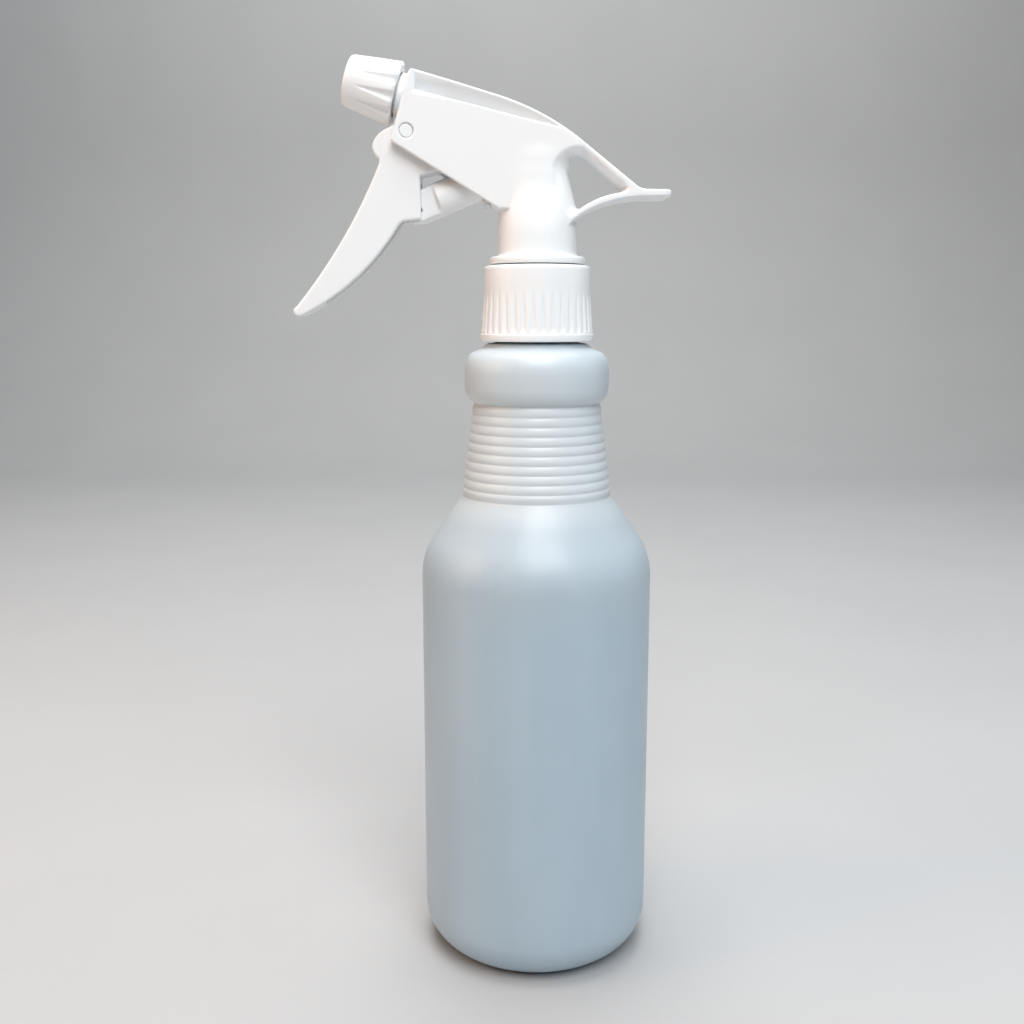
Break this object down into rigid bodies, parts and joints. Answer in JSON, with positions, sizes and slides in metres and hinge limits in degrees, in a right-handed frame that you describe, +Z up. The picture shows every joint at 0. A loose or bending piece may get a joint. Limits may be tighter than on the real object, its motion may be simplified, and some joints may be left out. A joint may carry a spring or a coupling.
{
  "type": "spray bottle",
  "caption": "Half-litre translucent bottle with ribbed neck, screw closure and white trigger pump head with turning nozzle knob and rear thumb rest.",
  "frame": {"origin": "middle of the bottle's base, on the plane it stands on", "axes": "+Z up along the bottle; the nozzle points towards -X and the thumb rest towards +X; Y across the head"},
  "size_m": [0.1143, 0.0724, 0.2803],
  "materials": {
    "bottle_hdpe": "milky translucent natural polyethylene, satin",
    "white_pp": "bright white moulded polypropylene, glossy",
    "clear_pe": "milky extruded polyethylene tube",
    "seal_grey": "soft elastomer seal",
    "steel": "bright stainless steel wire and ball"
  },
  "bodies": {
    "bottle": {"bottle": "bottle_hdpe"},
    "closure_seal": {"collar_gasket": "seal_grey"},
    "collar": {"collar": "white_pp"},
    "head": {"pump_body": "white_pp", "shroud": "white_pp", "tube_retainer": "white_pp", "dip_tube": "clear_pe", "tube_strainer": "white_pp", "return_spring": "steel", "outlet_spring": "steel", "swirl_core": "white_pp"},
    "trigger": {"trigger": "white_pp"},
    "piston": {"piston": "white_pp", "piston_seal": "seal_grey", "vent_seal": "seal_grey"},
    "nozzle_slider": {"nozzle_seal": "seal_grey"},
    "nozzle": {"nozzle_knob": "white_pp"},
    "inlet_ball": {"inlet_ball": "steel"},
    "outlet_valve": {"outlet_valve": "seal_grey"}
  },
  "joints": [
    {"name": "sprayer_lift", "type": "slide", "parent": "bottle", "child": "closure_seal", "axis": [0, 0, 1], "range_m": [0, 0.00635]},
    {"name": "collar_turn", "type": "hinge", "parent": "closure_seal", "child": "collar", "pos_m": [0, 0, 0.2076], "axis": [0, 0, 1], "range_deg": [0, 540]},
    {"name": "head_swivel", "type": "hinge", "parent": "closure_seal", "child": "head", "pos_m": [0, 0, 0.2194], "axis": [0, 0, 1], "continuous": true},
    {"name": "trigger_pull", "type": "hinge", "parent": "head", "child": "trigger", "pos_m": [-0.0388, 0, 0.2576], "axis": [0, -1, 0], "range_deg": [0, 22], "stiffness_Nm_per_rad": 0.5, "springref_deg": -17.19},
    {"name": "piston_stroke", "type": "slide", "parent": "head", "child": "piston", "axis": [0.9239, 0, 0.3827], "range_m": [0, 0.00794], "deforming": ["return_spring"]},
    {"name": "nozzle_advance", "type": "slide", "parent": "head", "child": "nozzle_slider", "axis": [-0.9636, 0, 0.2672], "range_m": [0, 0.0025]},
    {"name": "nozzle_turn", "type": "hinge", "parent": "nozzle_slider", "child": "nozzle", "pos_m": [-0.0426, 0, 0.2693], "axis": [-0.9636, 0, 0.2672], "range_deg": [0, 360]},
    {"name": "inlet_ball_lift", "type": "slide", "parent": "head", "child": "inlet_ball", "axis": [0, 0, 1], "range_m": [0, 0.001]},
    {"name": "outlet_valve_lift", "type": "slide", "parent": "head", "child": "outlet_valve", "axis": [-0.9636, 0, 0.2672], "range_m": [0, 0.001], "stiffness_N_per_m": 60, "springref_m": -0.002, "deforming": ["outlet_spring"]}
  ],
  "couplings": [
    {"joint": "collar_turn", "follows": "sprayer_lift", "rad_per_m": 1484.2},
    {"joint": "trigger_pull", "follows": "piston_stroke", "rad_per_m": 48.333},
    {"joint": "nozzle_turn", "follows": "nozzle_advance", "rad_per_m": 2513.2}
  ]
}
